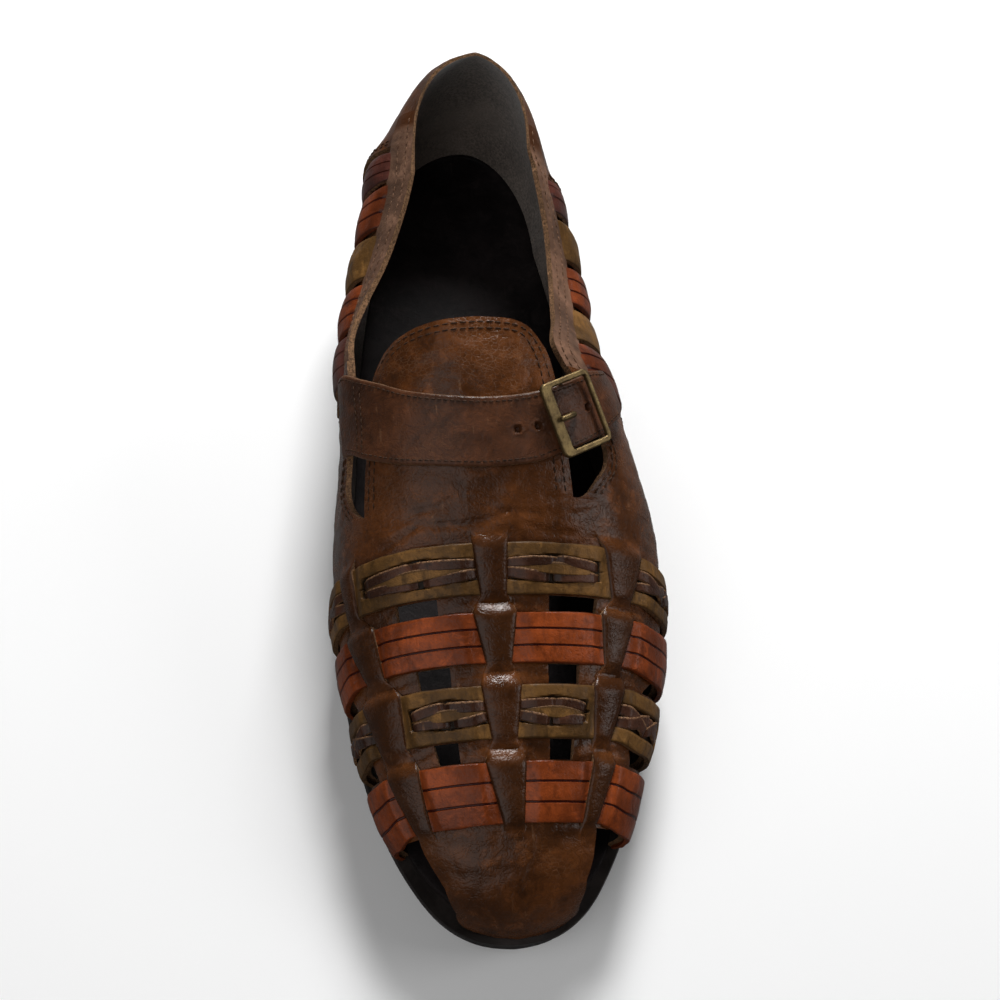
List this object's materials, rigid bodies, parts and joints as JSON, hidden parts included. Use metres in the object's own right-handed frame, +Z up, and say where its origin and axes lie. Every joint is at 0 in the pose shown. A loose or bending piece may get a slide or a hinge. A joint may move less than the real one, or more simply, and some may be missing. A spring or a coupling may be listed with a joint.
{
  "type": "fisherman sandal",
  "caption": "Left fisherman sandal: leather straps woven over the forefoot and quarters, a buckled instep strap over the tongue, a welt, an outsole and a low block heel.",
  "frame": {"origin": "on the floor, under the middle of the shoe's bounding box", "axes": "+Z up, -Y towards the toe, +Y towards the heel, +X towards the lateral side with the buckle"},
  "size_m": [0.1117, 0.3031, 0.0979],
  "materials": {
    "sole_rubber": "matt, near black",
    "welt_leather": "waxed, near black",
    "insole_leather": "satin, near black",
    "upper_leather": "waxed, grained, with orange and olive straps",
    "buckle_brass": "antique, satin"
  },
  "bodies": {
    "root": {"outsole": "sole_rubber", "heel": "sole_rubber", "welt": "welt_leather", "insole": "insole_leather", "upper": "upper_leather", "monk_strap": "upper_leather", "buckle_tab": "upper_leather", "buckle_frame": "buckle_brass", "buckle_prong": "buckle_brass"}
  },
  "joints": []
}
